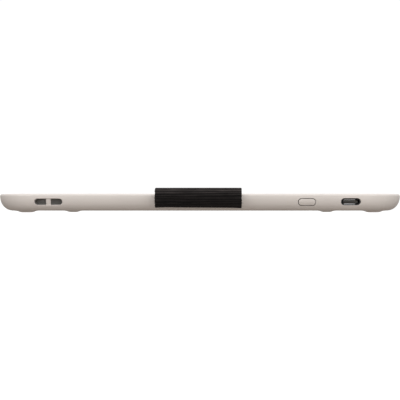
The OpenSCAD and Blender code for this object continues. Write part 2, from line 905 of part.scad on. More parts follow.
module midframe_screws() {
    color(metal) from_edge() for (p = case_screws) translate([p[0], p[1], midframe_top]) screw();
}

module board_screws() {
    color(metal) from_edge() for (p = board_screws_at) translate([p[0], p[1], board_top]) screw();
}

back_cover();
front_frame();
midframe();
foot_front_left();
foot_front_right();
foot_rear_left();
foot_rear_right();
pen_loop();
loop_clamp();
loop_screws();
strap_anchor();
strap_bar();
power_button();
switch_plunger();
power_switch();
usb_shell();
usb_tongue();
usb_contacts();
usb_ground_plates();
io_board();
io_connector();
io_flex();
cover_lens();
lens_border();
lens_gasket();
optical_bond();
touch_sensor();
light_guide();
light_bar();
epaper_film();
epaper_backplane();
display_drivers();
pen_digitizer();
digitizer_shield();
display_tape();
display_flex();
touch_flex();
digitizer_flex();
light_flex();
main_board();
processor();
memory_chips();
power_chip();
board_passives();
flex_connectors();
shield_can();
thermal_pad();
wireless_module();
antenna();
antenna_cable();
cover_sensor();
battery_cells();
battery_tape();
battery_board();
battery_lead();
midframe_screws();
board_screws();
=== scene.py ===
import json
import math

import bmesh
import bpy
import numpy as np
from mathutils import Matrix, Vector
from mathutils.bvhtree import BVHTree


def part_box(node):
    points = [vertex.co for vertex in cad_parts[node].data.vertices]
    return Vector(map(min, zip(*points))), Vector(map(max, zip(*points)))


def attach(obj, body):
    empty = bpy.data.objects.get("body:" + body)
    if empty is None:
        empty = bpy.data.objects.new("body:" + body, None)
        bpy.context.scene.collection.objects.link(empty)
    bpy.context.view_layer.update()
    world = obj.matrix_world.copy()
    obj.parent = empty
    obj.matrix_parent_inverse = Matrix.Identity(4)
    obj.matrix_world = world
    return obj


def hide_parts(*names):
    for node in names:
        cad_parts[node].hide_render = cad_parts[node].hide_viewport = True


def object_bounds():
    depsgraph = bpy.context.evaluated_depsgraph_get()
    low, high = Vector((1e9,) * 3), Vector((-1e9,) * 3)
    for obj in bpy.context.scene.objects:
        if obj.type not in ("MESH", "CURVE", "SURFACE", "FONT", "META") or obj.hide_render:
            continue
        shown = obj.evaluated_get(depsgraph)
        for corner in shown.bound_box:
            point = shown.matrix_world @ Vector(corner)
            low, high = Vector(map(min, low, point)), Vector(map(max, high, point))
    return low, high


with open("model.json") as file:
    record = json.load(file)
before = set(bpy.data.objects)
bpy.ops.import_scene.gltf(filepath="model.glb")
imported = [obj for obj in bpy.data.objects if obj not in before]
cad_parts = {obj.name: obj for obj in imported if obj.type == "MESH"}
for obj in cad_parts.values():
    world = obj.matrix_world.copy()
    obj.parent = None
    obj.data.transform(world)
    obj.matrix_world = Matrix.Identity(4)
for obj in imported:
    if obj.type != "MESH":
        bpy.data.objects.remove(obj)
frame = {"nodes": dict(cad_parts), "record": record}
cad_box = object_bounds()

MM = 0.001
rng = np.random.default_rng(7)

# A Mix node repeats its socket names for each kind of data, so the colour ones go by number
MIX_FACTOR = 0
MIX_A = 6
MIX_B = 7
MIX_RESULT = 2

# ---- Places taken from the frame ----

case_low, case_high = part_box("back_cover")
rim_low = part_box("front_frame")[0]
loop_low, loop_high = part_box("pen_loop")
cap_low, cap_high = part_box("power_button")
anchor_low, anchor_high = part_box("strap_anchor")
bar_low, bar_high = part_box("strap_bar")
shell_low, shell_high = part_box("usb_shell")
window_low, window_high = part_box("optical_bond")

# The nearest line of the case, along the photographed edge
EDGE_Y = rim_low.y
CASE_X = (case_low.x + case_high.x) / 2
FLOOR_Z = cad_box[0].z
PORT_X = (shell_low.x + shell_high.x) / 2
PORT_Z = (shell_low.z + shell_high.z) / 2

# ---- Camera ----

# The eye is a little above the surface that the object stands on, square on to the edge
EYE_DISTANCE = 572 * MM
EYE_HEIGHT = 0.71 * MM
LENS_MM = 111.9
SENSOR_MM = 36
TILT_UP_DEG = 0.50


def make_camera():
    data = bpy.data.cameras.new("camera")
    data.lens = LENS_MM
    data.sensor_width = SENSOR_MM
    data.clip_start = 0.002
    data.clip_end = 100
    camera = bpy.data.objects.new("camera", data)
    bpy.context.scene.collection.objects.link(camera)
    camera.location = (CASE_X, EDGE_Y - EYE_DISTANCE, FLOOR_Z + EYE_HEIGHT)
    camera.rotation_euler = (math.radians(90 + TILT_UP_DEG), 0, 0)
    bpy.context.scene.camera = camera


# ---- Studio ----

SKY = 2.95
GROUND = (0.24, 0.217, 0.198)
# Shares of SKY by direction, multiplied together: 0 is an axis's low end and 1 its high end
BELOW_TO_ABOVE = [(0.47, GROUND), (0.53, 0.8), (0.85, 0.84), (1.0, 1.0)]
FRONT_TO_BACK = [(0.0, 1.0), (0.5, 0.6), (1.0, 0.45)]
LEFT_TO_RIGHT = [(0.05, 0.38), (0.5, 1.0), (0.95, 0.5)]
# A white card far behind the object fills about 15 degrees around +Y, with a soft edge
CARD = 1.04
CARD_EDGE = [(0.978, 0.0), (0.984, 1.0)]


def make_world():
    """Soft light from all round: bright above and in front, dim below, with a white card far behind."""
    world = bpy.data.worlds.new("studio")
    bpy.context.scene.world = world
    world.use_nodes = True
    tree = world.node_tree
    tree.nodes.clear()
    out = tree.nodes.new("ShaderNodeOutputWorld")
    back = tree.nodes.new("ShaderNodeBackground")
    coords = tree.nodes.new("ShaderNodeTexCoord")
    split = tree.nodes.new("ShaderNodeSeparateXYZ")
    tree.links.new(coords.outputs["Generated"], split.inputs["Vector"])

    def ramp(axis, stops):
        """A value for each direction, by how far it points along one axis."""
        centred = tree.nodes.new("ShaderNodeMath")
        centred.operation = "MULTIPLY_ADD"
        centred.inputs[1].default_value = 0.5
        centred.inputs[2].default_value = 0.5
        tree.links.new(split.outputs[axis], centred.inputs[0])
        node = tree.nodes.new("ShaderNodeValToRGB")
        tree.links.new(centred.outputs["Value"], node.inputs["Fac"])
        ends = node.color_ramp.elements
        while len(ends) < len(stops):
            ends.new(0.5)
        for end, (place, value) in zip(ends, stops):
            end.position = place
            end.color = (*value, 1) if isinstance(value, tuple) else (value, value, value, 1)
        return node.outputs["Color"]

    def mix(blend, factor, a, b):
        node = tree.nodes.new("ShaderNodeMix")
        node.data_type = "RGBA"
        node.blend_type = blend
        node.clamp_result = False
        for number, value in ((MIX_FACTOR, factor), (MIX_A, a), (MIX_B, b)):
            if isinstance(value, bpy.types.NodeSocket):
                tree.links.new(value, node.inputs[number])
            else:
                node.inputs[number].default_value = value
        return node.outputs[MIX_RESULT]

    upright = ramp("Z", BELOW_TO_ABOVE)
    level = mix("MULTIPLY", 1.0, ramp("Y", FRONT_TO_BACK), ramp("X", LEFT_TO_RIGHT))
    studio = mix("MULTIPLY", 1.0, upright, level)
    card = ramp("Y", CARD_EDGE)
    white = CARD / SKY
    tree.links.new(mix("MIX", card, studio, (white, white, white, 1)), back.inputs["Color"])
    back.inputs["Strength"].default_value = SKY
    tree.links.new(back.outputs["Background"], out.inputs["Surface"])


# Half the floor's width, in metres
FLOOR_REACH = 30
FLOOR_TONE = (0.2, 0.2, 0.2, 1)
FLOOR_GLOW = 0.86


def make_floor():
    """A white floor that takes a faint contact shadow and sends no light back up."""
    signs = [(-1, -1), (1, -1), (1, 1), (-1, 1)]
    corners = [(sx * FLOOR_REACH, sy * FLOOR_REACH, FLOOR_Z) for sx, sy in signs]
    mesh = bpy.data.meshes.new("floor")
    mesh.from_pydata(corners, [], [(0, 1, 2, 3)])
    floor = bpy.data.objects.new("floor", mesh)
    bpy.context.scene.collection.objects.link(floor)
    material, n = new_material("floor_white")
    n.set(Base_Color=FLOOR_TONE, Roughness=1.0)
    n.set(Emission_Color=(1, 1, 1, 1), Emission_Strength=FLOOR_GLOW)
    mesh.materials.append(material)
    floor.visible_diffuse = False
    floor.visible_glossy = False


# ---- Node helpers ----

# Noise stays mostly between these values
NOISE_LOW = 0.3
NOISE_HIGH = 0.7


class Nodes:
    """A short way to write a node material around one Principled shader."""

    def __init__(self, material):
        material.use_nodes = True
        self.tree = material.node_tree
        self.tree.nodes.clear()
        self.shader = self.add("ShaderNodeBsdfPrincipled")
        out = self.add("ShaderNodeOutputMaterial")
        self.link(self.shader, "BSDF", out, "Surface")
        self.coords = self.add("ShaderNodeTexCoord")

    def add(self, kind, **settings):
        """A new node; each setting is the value of one of its sockets, or a property of its own."""
        node = self.tree.nodes.new(kind)
        for key, value in settings.items():
            if key in node.inputs:
                node.inputs[key].default_value = value
            else:
                setattr(node, key, value)
        return node

    def link(self, source, output, target, socket):
        self.tree.links.new(source.outputs[output], target.inputs[socket])

    def set(self, **values):
        """Plain values on the shader's sockets, named with underscores for spaces."""
        for key, value in values.items():
            self.shader.inputs[key.replace("_", " ")].default_value = value

    def stretched(self, scale):
        """Object coordinates scaled unevenly, for grain that runs one way."""
        node = self.add("ShaderNodeMapping", Scale=scale)
        self.link(self.coords, "Object", node, "Vector")
        return node

    def noise(self, size, detail=2.0, roughness=0.5, source=None):
        """Noise whose lumps are about this size, in metres."""
        node = self.add("ShaderNodeTexNoise", Scale=1 / size, Detail=detail, Roughness=roughness)
        if source:
            self.link(source, "Vector", node, "Vector")
        else:
            self.link(self.coords, "Object", node, "Vector")
        return node

    def cells(self, size, feature="F1"):
        """Cells about this size across, in metres."""
        node = self.add("ShaderNodeTexVoronoi", Scale=1 / size, feature=feature)
        self.link(self.coords, "Object", node, "Vector")
        return node

    def ramp(self, source, output, low, high, colours):
        """One colour below low, the other above high, and a blend between."""
        node = self.add("ShaderNodeValToRGB")
        self.link(source, output, node, "Fac")
        ends = node.color_ramp.elements
        ends[0].position = low
        ends[1].position = high
        ends[0].color = (*colours[0], 1)
        ends[1].color = (*colours[1], 1)
        return node

    def tones(self, noise, *colours):
        """Two colours spread over the range of a noise node."""
        return self.ramp(noise, "Fac", NOISE_LOW, NOISE_HIGH, colours)

    def gloss(self, noise, middle, spread):
        """Roughness that wanders around a middle value."""
        tone = self.tones(noise, grey(middle - spread), grey(middle + spread))
        self.link(tone, "Color", self.shader, "Roughness")

    def math(self, operation, a, b=0.0, c=0.0):
        """A math node; a, b and c are numbers, sockets, or nodes whose Value is used."""
        node = self.add("ShaderNodeMath", operation=operation)
        for socket, value in zip(node.inputs, (a, b, c)):
            if isinstance(value, bpy.types.NodeSocket):
                self.tree.links.new(value, socket)
            elif isinstance(value, bpy.types.Node):
                self.tree.links.new(value.outputs["Value"], socket)
            else:
                socket.default_value = value
        return node

    def mix(self, fac, colour_a, colour_b):
        """Colour b where the factor socket gives 1, colour a where it gives 0; returns a socket."""
        node = self.add("ShaderNodeMix", data_type="RGBA")
        self.tree.links.new(fac, node.inputs[MIX_FACTOR])
        for socket, value in ((node.inputs[MIX_A], colour_a), (node.inputs[MIX_B], colour_b)):
            if isinstance(value, bpy.types.NodeSocket):
                self.tree.links.new(value, socket)
            else:
                socket.default_value = (*value, 1)
        return node.outputs[MIX_RESULT]

    def times(self, colour, factor):
        """A colour socket darkened by the Color of a node; returns a socket."""
        node = self.add("ShaderNodeMix", data_type="RGBA", blend_type="MULTIPLY")
        node.inputs[MIX_FACTOR].default_value = 1.0
        self.tree.links.new(colour, node.inputs[MIX_A])
        self.tree.links.new(factor.outputs["Color"], node.inputs[MIX_B])
        return node.outputs[MIX_RESULT]

    def colour(self, socket):
        """The shader's base colour."""
        self.tree.links.new(socket, self.shader.inputs["Base Color"])

    def bump(self, source, output, depth, strength=1.0, below=None):
        """The shader's relief, in metres, on top of the relief below; returns its node."""
        node = self.add("ShaderNodeBump", Strength=strength, Distance=depth)
        self.link(source, output, node, "Height")
        if below:
            self.link(below, "Normal", node, "Normal")
        self.link(node, "Normal", self.shader, "Normal")
        return node


def shade(colour, factor):
    """A colour made lighter or darker."""
    return tuple(min(1.0, c * factor) for c in colour)


def grey(level):
    return (level, level, level)


def new_material(name):
    material = bpy.data.materials.new(name)
    return material, Nodes(material)


# ---- Materials ----

IVORY = (0.655, 0.61, 0.575)


def moulded(name, colour, roughness, grain=0.25 * MM, depth=0.006 * MM, mottle=0.03, **more):
    """Moulded plastic: a fine spark-eroded grain, and a slow, faint change of tone."""
    material, n = new_material(name)
    slow = n.noise(30 * MM, 3)
    tone = n.tones(slow, shade(colour, 1 - mottle), shade(colour, 1 + mottle))
    n.colour(tone.outputs["Color"])
    fine = n.noise(grain, 3, 0.6)
    n.gloss(fine, roughness, 0.05)
    n.bump(fine, "Fac", depth)
    n.set(**more)
    return material


def metal(name, colour, roughness, run=(1, 12, 12), grain=0.6 * MM, depth=0.004 * MM):
    """Rolled or plated metal: fine lines along X, and patches of slightly different gloss."""
    material, n = new_material(name)
    lines = n.noise(grain, 3, 0.6, n.stretched(run))
    tone = n.tones(lines, shade(colour, 0.88), shade(colour, 1.08))
    n.colour(tone.outputs["Color"])
    patches = n.noise(9 * MM, 3)
    n.gloss(patches, roughness, 0.07)
    n.bump(lines, "Fac", depth)
    n.set(Metallic=1.0)
    return material


def circuit_board(name, colour):
    """Solder mask over copper: a maze of fine raised traces, and bright specks for the vias."""
    material, n = new_material(name)
    maze = n.cells(1.6 * MM, "DISTANCE_TO_EDGE")
    trace = n.ramp(maze, "Distance", 0.06, 0.1, (shade(colour, 1.7), colour))
    speck = n.ramp(n.cells(2.3 * MM), "Distance", 0.1, 0.13, (grey(1), grey(0)))
    n.colour(n.mix(speck.outputs["Color"], trace.outputs["Color"], (0.75, 0.6, 0.3)))
    n.bump(trace, "Color", 0.02 * MM, 0.6)
    n.set(Roughness=0.35)
    return material


def flat_cable(name, colour):
    """Amber film over copper tracks that run along the cable."""
    material, n = new_material(name)
    tracks = n.add("ShaderNodeTexWave", Scale=1 / (2.2 * MM), Distortion=0.0, bands_direction="X")
    n.link(n.coords, "Object", tracks, "Vector")
    tone = n.ramp(tracks, "Fac", 0.4, 0.6, (shade(colour, 0.7), shade(colour, 1.25)))
    n.colour(tone.outputs["Color"])
    n.bump(tracks, "Fac", 0.01 * MM)
    n.set(Roughness=0.25, Coat_Weight=0.4, Coat_Roughness=0.1)
    return material


def foil(name, colour):
    """Laminated foil drawn over a cell: broad soft creases and a satin sheen."""
    material, n = new_material(name)
    creases = n.noise(14 * MM, 4, 0.55)
    tone = n.ramp(creases, "Fac", 0.35, 0.65, (shade(colour, 0.9), shade(colour, 1.06)))
    n.colour(tone.outputs["Color"])
    fine = n.noise(1.2 * MM, 2)
    broad = n.bump(creases, "Fac", 0.25 * MM)
    n.bump(fine, "Fac", 0.01 * MM, 1.0, broad)
    n.set(Metallic=0.9, Roughness=0.38)
    return material


def foam(name, colour, cell=0.35 * MM):
    """Closed-cell foam tape or a soft pad."""
    material, n = new_material(name)
    cells = n.cells(cell)
    tone = n.ramp(cells, "Distance", 0.1, 0.8, (shade(colour, 1.25), shade(colour, 0.75)))
    n.colour(tone.outputs["Color"])
    n.bump(cells, "Distance", 0.03 * MM)
    n.set(Roughness=0.85)
    return material


def clear_film(name, colour):
    """A clear layer of the display, seen as a pale, glossy sheet with a faint tint."""
    material, n = new_material(name)
    haze = n.noise(40 * MM, 2)
    tone = n.tones(haze, shade(colour, 0.97), shade(colour, 1.02))
    n.colour(tone.outputs["Color"])
    ripple = n.noise(6 * MM, 2)
    n.bump(ripple, "Fac", 0.01 * MM)
    n.set(Roughness=0.12, Alpha=0.35, IOR=1.49)
    return material


PAPER = (0.50, 0.50, 0.465)
# Width of the darker line round the picture
PICTURE_IN = 0.7 * MM


def screen_glass(name):
    """Etched cover glass: the grey paper-like picture, a thin darker line, and the ivory border."""
    material, n = new_material(name)
    split = n.add("ShaderNodeSeparateXYZ")
    n.link(n.coords, "Object", split, "Vector")

    def outside(inset):
        """1 outside the window less the inset, 0 inside it."""
        over = []
        for axis, low, high in (("X", window_low.x, window_high.x), ("Y", window_low.y, window_high.y)):
            away = n.math("SUBTRACT", split.outputs[axis], (low + high) / 2)
            over.append(n.math("GREATER_THAN", n.math("ABSOLUTE", away), (high - low) / 2 - inset))
        return n.math("MAXIMUM", *over).outputs["Value"]

    grain = n.noise(0.35 * MM, 3, 0.7)
    paper = n.tones(grain, shade(PAPER, 0.93), shade(PAPER, 1.05))
    slow = n.noise(60 * MM, 2)
    border = n.tones(slow, shade(IVORY, 0.99), shade(IVORY, 1.03))
    picture = n.mix(outside(PICTURE_IN), paper.outputs["Color"], shade(PAPER, 0.78))
    n.colour(n.mix(outside(0), picture, border.outputs["Color"]))
    etch = n.noise(0.12 * MM, 3, 0.6)
    n.gloss(etch, 0.36, 0.06)
    n.bump(etch, "Fac", 0.003 * MM)
    n.set(IOR=1.5)
    return material


RIB_PITCH = 1.08 * MM
YARN_PITCH_MM = 0.42
STREAK_MM = 9
ELASTIC = (0.0145, 0.0121, 0.0116)
# Painted shade in the grooves, and the tone of the darkest streaks, as shares of the tape's tone
GROOVE_SHADE = 0.1
STREAK_TONE = 0.5


def woven_elastic(name):
    """Black ribbed elastic: yarns over each rib in turn, slow streaks, fine lint, painted shade in the
    grooves and a painted highlight where the tape faces up.
    """
    material, n = new_material(name)
    # The tape's own map: X is in mm across the tape, Y counts the ribs along it
    uv = n.add("ShaderNodeUVMap", uv_map="weave")
    split = n.add("ShaderNodeSeparateXYZ")
    n.link(uv, "UV", split, "Vector")
    rib = n.math("FLOOR", split.outputs["Y"])
    # Yarns, half a turn out of step from rib to rib
    along = n.math("DIVIDE", split.outputs["X"], YARN_PITCH_MM)
    turn = n.math("MULTIPLY_ADD", rib, 0.5, along)
    yarn = n.math("SINE", n.math("MULTIPLY", turn, 2 * math.pi))
    # Fine lint in the tone, and a painted highlight: a much lighter copy of the tone where the tape faces
    # up
    lint = n.noise(0.09 * MM, 3, 0.7)
    tone = n.ramp(lint, "Fac", 0.3, 0.75, (shade(ELASTIC, 0.7), shade(ELASTIC, 1.6)))
    painted_top_light = n.ramp(lint, "Fac", 0.3, 0.75, (shade(ELASTIC, 2.0), shade(ELASTIC, 4.2)))
    facing = n.add("ShaderNodeNewGeometry")
    tilt = n.add("ShaderNodeSeparateXYZ")
    n.link(facing, "Normal", tilt, "Vector")
    # Mask for the painted highlight: 1 where the tape faces up, 0 where it faces sideways or down
    upper = n.ramp(tilt, "Z", 0.3, 0.75, (grey(0), grey(1)))
    fabric_with_painted_highlight = n.mix(upper.outputs["Color"], tone.outputs["Color"], painted_top_light.outputs["Color"])
    # Painted shade in the grooves between the ribs
    across = n.math("MULTIPLY", split.outputs["Y"], math.pi)
    crest = n.math("ABSOLUTE", n.math("SINE", across))
    groove_shaded = n.times(fabric_with_painted_highlight, n.ramp(crest, "Value", 0.35, 0.95, (grey(GROOVE_SHADE), grey(1))))
    # Streaks along each rib, different from rib to rib
    place = n.add("ShaderNodeCombineXYZ")
    n.link(split, "X", place, "X")
    n.link(n.math("MULTIPLY", rib, STREAK_MM), "Value", place, "Y")
    streak = n.add("ShaderNodeTexNoise", Scale=1 / STREAK_MM, Detail=1.0)
    n.link(place, "Vector", streak, "Vector")
    n.colour(n.times(groove_shaded, n.ramp(streak, "Fac", 0.35, 0.62, (grey(STREAK_TONE), grey(1)))))
    coarse = n.bump(yarn, "Value", 0.025 * MM, 0.8)
    n.bump(lint, "Fac", 0.03 * MM, 0.8, coarse)
    n.set(Roughness=0.95, Specular_IOR_Level=0.15)
    n.set(Sheen_Weight=0.05, Sheen_Roughness=0.5, Sheen_Tint=(0.95, 0.87, 0.85, 1))
    return material


def make_materials():
    """One material for each slot of the record, by name."""
    return {
        "case_plastic": moulded("case_plastic", IVORY, 0.5, grain=0.18 * MM),
        "foot_rubber": moulded("foot_rubber", IVORY, 0.72, grain=0.3 * MM, depth=0.01 * MM),
        "elastic": woven_elastic("elastic"),
        # The pocket's grey, darker than the case's plastic, is painted shade for its deep, shadowed inside
        "pocket_plastic": moulded("pocket_plastic", (0.36, 0.35, 0.335), 0.6, mottle=0.05),
        "dark_plastic": moulded("dark_plastic", (0.014, 0.0135, 0.013), 0.42, mottle=0.12),
        "steel": metal("steel", (0.62, 0.62, 0.63), 0.34),
        "dark_nickel": metal("dark_nickel", (0.062, 0.062, 0.064), 0.42),
        "light_alloy": metal("light_alloy", (0.66, 0.67, 0.68), 0.4),
        "contacts": metal("contacts", (0.26, 0.21, 0.13), 0.35),
        "lens_glass": screen_glass("lens_glass"),
        "border_ink": moulded("border_ink", IVORY, 0.45),
        "adhesive": foam("adhesive", (0.05, 0.05, 0.05)),
        "white_tape": moulded("white_tape", (0.78, 0.78, 0.76), 0.45, grain=0.6 * MM),
        "clear_film": clear_film("clear_film", (0.86, 0.88, 0.88)),
        "epaper": moulded("epaper", PAPER, 0.8, grain=0.3 * MM),
        "display_glass": moulded("display_glass", (0.12, 0.14, 0.13), 0.15, mottle=0.1, Coat_Weight=0.6),
        "board": circuit_board("board", (0.02, 0.075, 0.045)),
        "connector": moulded("connector", (0.72, 0.68, 0.57), 0.4),
        "flex": flat_cable("flex", (0.42, 0.2, 0.05)),
        "lamps": foam("lamps", (0.85, 0.78, 0.45), 1.1 * MM),
        "passives": moulded("passives", (0.32, 0.24, 0.16), 0.35, grain=0.4 * MM, mottle=0.2),
        "thermal": foam("thermal", (0.3, 0.35, 0.46), 0.25 * MM),
        "coax": moulded("coax", (0.05, 0.05, 0.05), 0.3),
        "lead": moulded("lead", (0.42, 0.03, 0.025), 0.3),
        "cell_foil": foil("cell_foil", (0.7, 0.71, 0.73)),
    }


# ---- Mesh helpers ----

WELD = 0.0005 * MM
SHARP_ANGLE = math.radians(35)


def add_piece(name, verts, faces, slot, body="housing"):
    """A closed, smooth-shaded mesh from points and faces, riding on a body."""
    mesh = bpy.data.meshes.new(name)
    mesh.from_pydata(verts, [], faces)
    bm = bmesh.new()
    bm.from_mesh(mesh)
    bmesh.ops.recalc_face_normals(bm, faces=bm.faces)
    bm.to_mesh(mesh)
    bm.free()
    mesh.shade_smooth()
    mesh.materials.append(materials[slot])
    piece = bpy.data.objects.new(name, mesh)
    bpy.context.scene.collection.objects.link(piece)
    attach(piece, body)
    return piece


def loft(rings):
    """Points and faces of a closed surface through rings of equal point counts, capped at both ends."""
    count = len(rings[0])
    verts = [point for ring in rings for point in ring]
    faces = []
    for i in range(len(rings) - 1):
        a = i * count
        b = a + count
        for j in range(count):
            k = (j + 1) % count
            faces.append((a + j, a + k, b + k, b + j))
    faces.append(tuple(range(count)))
    faces.append(tuple(range(len(verts) - count, len(verts))))
    return verts, faces


def joined(parts):
    """Several (points, faces) pairs as one."""
    verts = []
    faces = []
    for more, extra in parts:
        faces += [tuple(i + len(verts) for i in face) for face in extra]
        verts += more
    return verts, faces


def smooth_by_angle():
    """A node modifier that leaves only edges bent by more than the sharp angle sharp."""
    group = bpy.data.node_groups.new("smooth_by_angle", "GeometryNodeTree")
    group.interface.new_socket("Geometry", in_out="INPUT", socket_type="NodeSocketGeometry")
    group.interface.new_socket("Geometry", in_out="OUTPUT", socket_type="NodeSocketGeometry")
    start = group.nodes.new("NodeGroupInput")
    end = group.nodes.new("NodeGroupOutput")
    bend = group.nodes.new("GeometryNodeInputMeshEdgeAngle")
    soft = group.nodes.new("FunctionNodeCompare")
    soft.operation = "LESS_THAN"
    soft.inputs["B"].default_value = SHARP_ANGLE
    faces = group.nodes.new("GeometryNodeSetShadeSmooth")
    edges = group.nodes.new("GeometryNodeSetShadeSmooth")
    edges.domain = "EDGE"
    group.links.new(start.outputs["Geometry"], faces.inputs["Geometry"])
    group.links.new(faces.outputs["Geometry"], edges.inputs["Geometry"])
    group.links.new(bend.outputs["Unsigned Angle"], soft.inputs["A"])
    group.links.new(soft.outputs["Result"], edges.inputs["Shade Smooth"])
    group.links.new(edges.outputs["Geometry"], end.inputs["Geometry"])
    return group


def soften(piece, group, cutter=None):
    """Joins split corners, opens rounded rims where there is a cutter, and shades the result smoothly."""
    for name in ("custom_normal", "sharp_edge", "sharp_face"):
        if name in piece.data.attributes:
            piece.data.attributes.remove(piece.data.attributes[name])
    weld = piece.modifiers.new("weld", "WELD")
    weld.merge_threshold = WELD
    if cutter:
        cut = piece.modifiers.new("rims", "BOOLEAN")
        cut.operation = "DIFFERENCE"
        cut.solver = "EXACT"
        cut.object = cutter
    piece.modifiers.new("smooth", "NODES").node_group = group
    even = piece.modifiers.new("even", "WEIGHTED_NORMAL")
    even.keep_sharp = True


def face_finder():
    """Gives the case's face: y at a height, seen along +Y at a place with no opening."""
    clear_x = (loop_high.x + cap_low.x) / 2
    # The rays start a metre in front of the origin, well outside the case
    start_y = -1
    trees = []
    for name in ("back_cover", "front_frame"):
        mesh = frame["nodes"][name].data
        corners = [v.co for v in mesh.vertices]
        trees.append(BVHTree.FromPolygons(corners, [p.vertices for p in mesh.polygons]))

    def face_y(z):
        hits = [tree.ray_cast(Vector((clear_x, start_y, z)), Vector((0, 1, 0)))[0] for tree in trees]
        return min(hit.y for hit in hits if hit)

    return face_y


# ---- Openings in the edge ----

# Steps in half a turn of an opening's outline
ARC_STEPS = 20
# What the boxes in the frame don't give: the pocket's wall, the bar's play in height, how much
# wider and higher the button's flange is than its cap, the gap round the cap, and the size of
# the port's opening
ANCHOR_WALL = 0.8 * MM
BAR_PLAY = 0.02 * MM
FLANGE_GROW = (1.6 * MM, 0.6 * MM)
CAP_GAP = 0.3 * MM
USB_OPENING = (9.2 * MM, 3.25 * MM)

SLOT_RIM = 0.28 * MM
CAP_RIM = 0.08 * MM
PORT_RIM = 0.12 * MM
# A rim starts this many degrees round its quarter turn, so that it meets the face at an angle
RIM_START = 14
RIM_STEPS = 6
# How far the cutter starts outside the rim and in front of the face
CUT_WIDER = 0.02 * MM
CUT_FRONT = 0.3 * MM
# How far it ends inside the opening's outline, and behind the rim
CUT_NARROWER = 0.01 * MM
CUT_BEHIND = 0.25 * MM

STRAP_X = (anchor_low.x + anchor_high.x) / 2
STRAP_Z = (bar_low.z + bar_high.z) / 2
STRAP_W = anchor_high.x - anchor_low.x - 2 * ANCHOR_WALL
STRAP_H = bar_high.z - bar_low.z + 2 * BAR_PLAY
CAP_X = (cap_low.x + cap_high.x) / 2
CAP_Z = (cap_low.z + cap_high.z) / 2
CAP_W = cap_high.x - cap_low.x - FLANGE_GROW[0]
CAP_H = cap_high.z - cap_low.z - FLANGE_GROW[1]

# The middle, width, height and rim radius of each opening
OPENINGS = [
    (STRAP_X, STRAP_Z, STRAP_W, STRAP_H, SLOT_RIM),
    (CAP_X, CAP_Z, CAP_W + 2 * CAP_GAP, CAP_H + 2 * CAP_GAP, CAP_RIM),
    (PORT_X, PORT_Z, *USB_OPENING, PORT_RIM),
]


def pill_points(x, z, w, h, grow=0.0):
    """The outline of a pill grown by a margin, as (x, z) points."""
    r = h / 2 + grow
    half = (w - h) / 2
    points = []
    for side, first in ((1, -90), (-1, 90)):
        for i in range(ARC_STEPS + 1):
            a = math.radians(first + 180 * i / ARC_STEPS)
            points.append((x + side * half + r * math.cos(a), z + r * math.sin(a)))
    return points


def rim_cutter(x, z, w, h, rim):
    """A trumpet that rounds the rim of a pill-shaped opening with nearly a quarter turn."""
    profile = [(rim * (1 - math.sin(math.radians(RIM_START))) + CUT_WIDER, -CUT_FRONT)]
    for i in range(RIM_STEPS + 1):
        a = math.radians(RIM_START + (90 - RIM_START) * i / RIM_STEPS)
        profile.append((rim * (1 - math.sin(a)), rim * (1 - math.cos(a))))
    profile.append((-CUT_NARROWER, rim + CUT_BEHIND))
    rings = []
    for grow, depth in profile:
        rings.append([(px, face_y(pz) + depth, pz) for px, pz in pill_points(x, z, w, h, grow)])
    return loft(rings)


def make_rim_cutter():
    """One hidden cutter for the rims of the three openings."""
    cutter = add_piece("rim_cutter", *joined(rim_cutter(*opening) for opening in OPENINGS), "case_plastic")
    cutter.hide_render = True
    cutter.display_type = "WIRE"
    return cutter


# ---- Power button cap ----

FLANGE_T = 0.6 * MM
CAP_EDGE_R = 0.1 * MM
# The cap's middle line stands this far in front of the face, and its rim falls back from there
CAP_PROUD = 0.12 * MM
CAP_DOME = 0.14 * MM
EDGE_STEPS = 5
DOME_STEPS = 9


def make_cap():
    """A pillow-shaped cap that follows the rounded side, with the flange that keeps it in."""
    back_y = cap_high.y
    flange_y = back_y - FLANGE_T
    half = CAP_H / 2
    flange = pill_points(CAP_X, CAP_Z, CAP_W + FLANGE_GROW[0], CAP_H + FLANGE_GROW[1])
    neck = pill_points(CAP_X, CAP_Z, CAP_W, CAP_H)
    rings = [
        [(x, back_y, z) for x, z in flange],
        [(x, flange_y, z) for x, z in flange],
        [(x, flange_y, z) for x, z in neck],
    ]
    profile = []
    for i in range(EDGE_STEPS + 1):
        a = math.radians(90 * i / EDGE_STEPS)
        profile.append((CAP_EDGE_R * (1 - math.cos(a)), CAP_EDGE_R * (1 - math.sin(a))))
    profile += [(CAP_EDGE_R + (half - CAP_EDGE_R) * i / DOME_STEPS, 0) for i in range(1, DOME_STEPS)]
    for inset, drop in profile:
        ring = pill_points(CAP_X, CAP_Z, CAP_W, CAP_H, -inset)
        dome = CAP_DOME * (1 - inset / half) ** 2
        rings.append([(x, face_y(z) - CAP_PROUD + dome + drop, z) for x, z in ring])
    cap = add_piece("button_cap", *loft(rings), "case_plastic", "button")
    cap.modifiers.new("smooth", "NODES").node_group = angle_group
    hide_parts("power_button")


# ---- Strap bar ----

BAR_RECESS = 0.5 * MM
BAR_CORNER = 0.32 * MM
BAR_FLARE = 0.28 * MM
# The bar comes forward by this share of its flare
FLARE_FORWARD = 0.5
# How far the bar's ends reach into the case
BAR_OVERLAP = 0.08 * MM
BAR_STEPS = 22
CORNER_STEPS = 5


